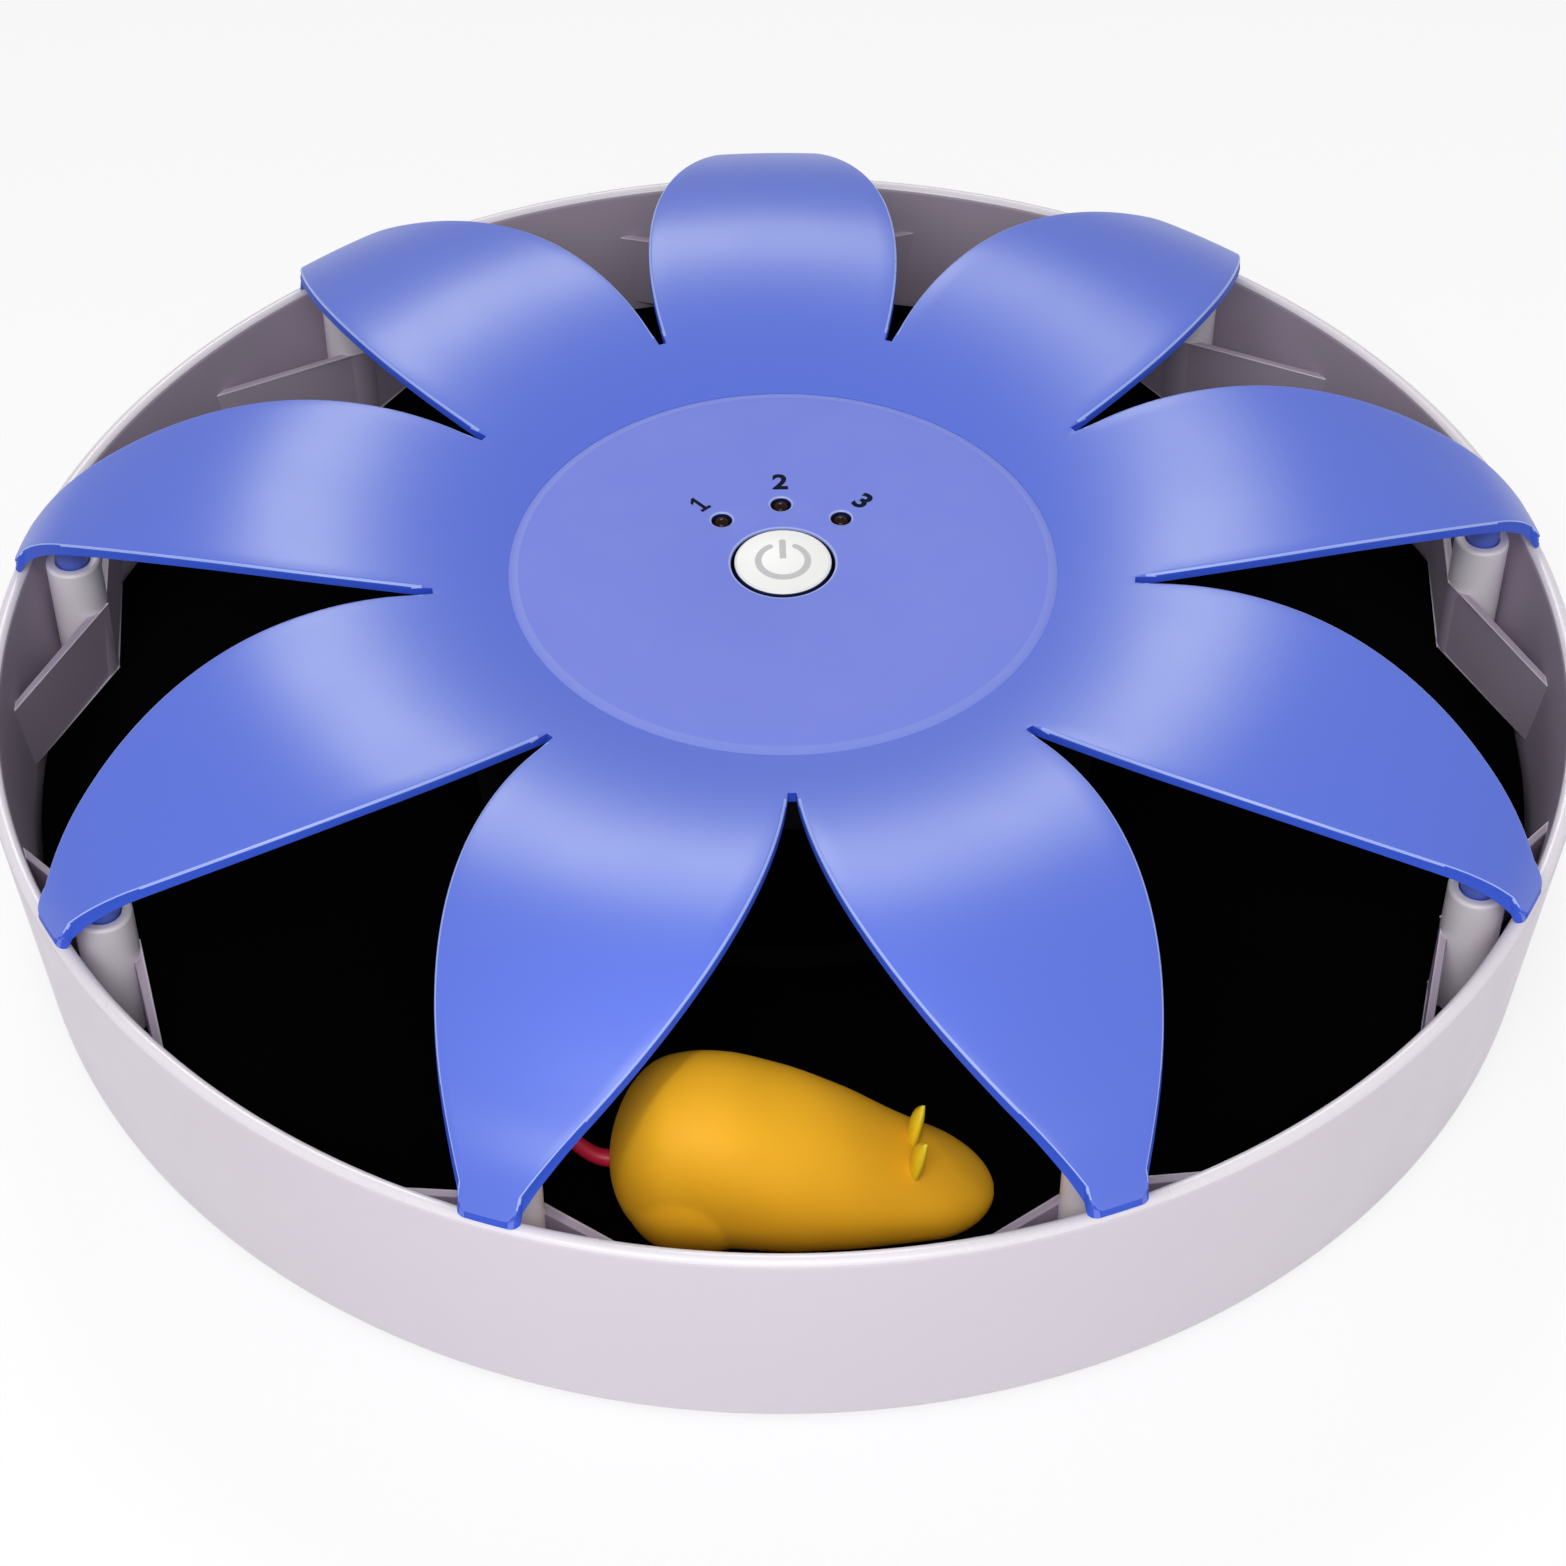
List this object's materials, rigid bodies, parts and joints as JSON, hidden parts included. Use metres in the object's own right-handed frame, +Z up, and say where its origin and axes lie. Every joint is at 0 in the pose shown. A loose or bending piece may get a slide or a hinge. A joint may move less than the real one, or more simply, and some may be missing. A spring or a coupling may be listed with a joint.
{
  "type": "rotating mouse cat toy",
  "caption": "Round battery-driven cat toy: a toy mouse rides a turntable in a shallow bowl, and a flower-shaped cover leaves paw gaps between its petals.",
  "frame": {"origin": "centre of the base, on the surface that the feet stand on", "axes": "+Z up, along the turntable's axis; the mouse waits on the -Y side at rest, facing +X"},
  "size_m": [0.25, 0.25, 0.0606],
  "materials": {
    "white_abs": "moulded white ABS with a soft gloss and a faint lavender cast",
    "grey_rubber": "matte moulded rubber",
    "screw_steel": "zinc-plated steel",
    "black_abs": "moulded black ABS, satin",
    "deck_black": "moulded black ABS, fine matte texture",
    "cell_jacket": "plain printed steel jacket",
    "plated_steel": "nickel-plated steel",
    "gear_brass": "stamped brass plates",
    "acetal": "natural acetal",
    "black_acetal": "acetal with carbon black",
    "blue_abs": "moulded cornflower blue ABS, soft gloss",
    "lavender_abs": "fine matte lavender blue plate",
    "board_laminate": "glass laminate with green solder mask",
    "lamp_epoxy": "dark tinted clear epoxy lamp",
    "amber_vinyl": "smooth amber vinyl",
    "ear_vinyl": "lemon yellow vinyl",
    "tail_vinyl": "crimson soft vinyl",
    "button_white": "white moulded button, satin"
  },
  "bodies": {
    "base": {"bowl": "white_abs", "base_pan": "white_abs", "rubber_feet": "grey_rubber", "pan_screws": "screw_steel", "hub_housing": "black_abs", "hub_screws": "screw_steel", "battery_door": "white_abs", "door_screw": "screw_steel", "battery_cells": "cell_jacket", "battery_contacts": "plated_steel", "motor_can": "plated_steel", "gearbox": "gear_brass", "motor_bracket": "black_abs", "bracket_screws": "screw_steel", "glide_ring": "acetal", "flower_cover": "blue_abs", "control_panel": "lavender_abs", "circuit_board": "board_laminate", "push_switch": "black_abs", "indicator_lamps": "lamp_epoxy", "board_screws": "screw_steel"},
    "turntable": {"turntable": "deck_black", "ring_gear": "black_acetal", "ring_gear_screws": "screw_steel", "mouse_body": "amber_vinyl", "mouse_ears": "ear_vinyl", "mouse_tail": "tail_vinyl", "mouse_screws": "screw_steel"},
    "pinion": {"drive_pinion": "acetal", "output_shaft": "plated_steel"},
    "button": {"power_button": "button_white", "switch_plunger": "black_abs"}
  },
  "joints": [
    {"name": "turntable_spin", "type": "hinge", "parent": "base", "child": "turntable", "pos_m": [0, 0, 0.01575], "axis": [0, 0, 1], "continuous": true},
    {"name": "pinion_spin", "type": "hinge", "parent": "base", "child": "pinion", "pos_m": [0.038, 0, 0.008], "axis": [0, 0, 1], "continuous": true},
    {"name": "button_press", "type": "slide", "parent": "base", "child": "button", "axis": [0, 0, -1], "range_m": [0, 0.0006], "stiffness_N_per_m": 1500}
  ],
  "couplings": [
    {"joint": "pinion_spin", "follows": "turntable_spin", "ratio": 4.8}
  ]
}
